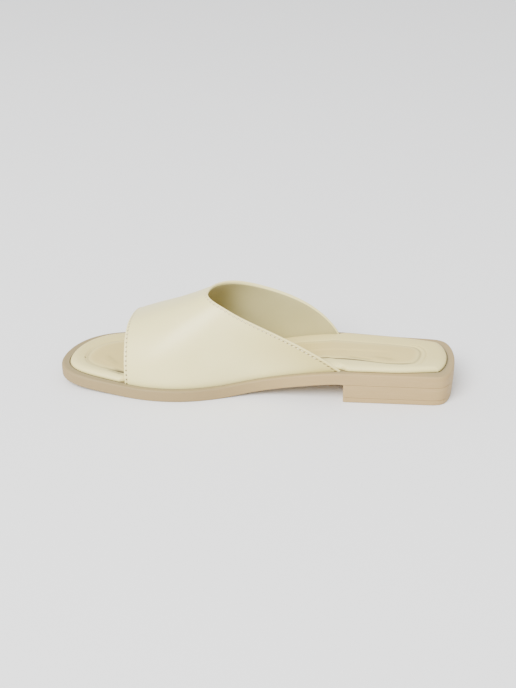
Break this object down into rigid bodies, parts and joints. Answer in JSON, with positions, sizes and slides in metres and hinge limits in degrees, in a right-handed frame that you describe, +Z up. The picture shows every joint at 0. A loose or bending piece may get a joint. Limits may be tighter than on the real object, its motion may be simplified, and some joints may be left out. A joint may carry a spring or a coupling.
{
  "type": "leather mule",
  "caption": "Flat open-toed slip-on mule for the right foot: one wide leather band over a padded insole, on a rimmed rubber sole with a low stacked heel.",
  "frame": {"origin": "on the floor, under the middle of the sole's outline", "axes": "+X towards the toe along the sole, +Y towards the big-toe side, +Z up from the floor"},
  "size_m": [0.258, 0.087, 0.0618],
  "materials": {
    "sole_rubber": "matte beige moulded rubber",
    "insole_leather": "soft satin cream leather over thin padding",
    "upper_leather": "smooth satin cream leather with an olive-beige lining"
  },
  "bodies": {
    "root": {"outsole": "sole_rubber", "heel_block": "sole_rubber", "heel_top_lift": "sole_rubber", "insole": "insole_leather", "upper": "upper_leather"}
  },
  "joints": []
}
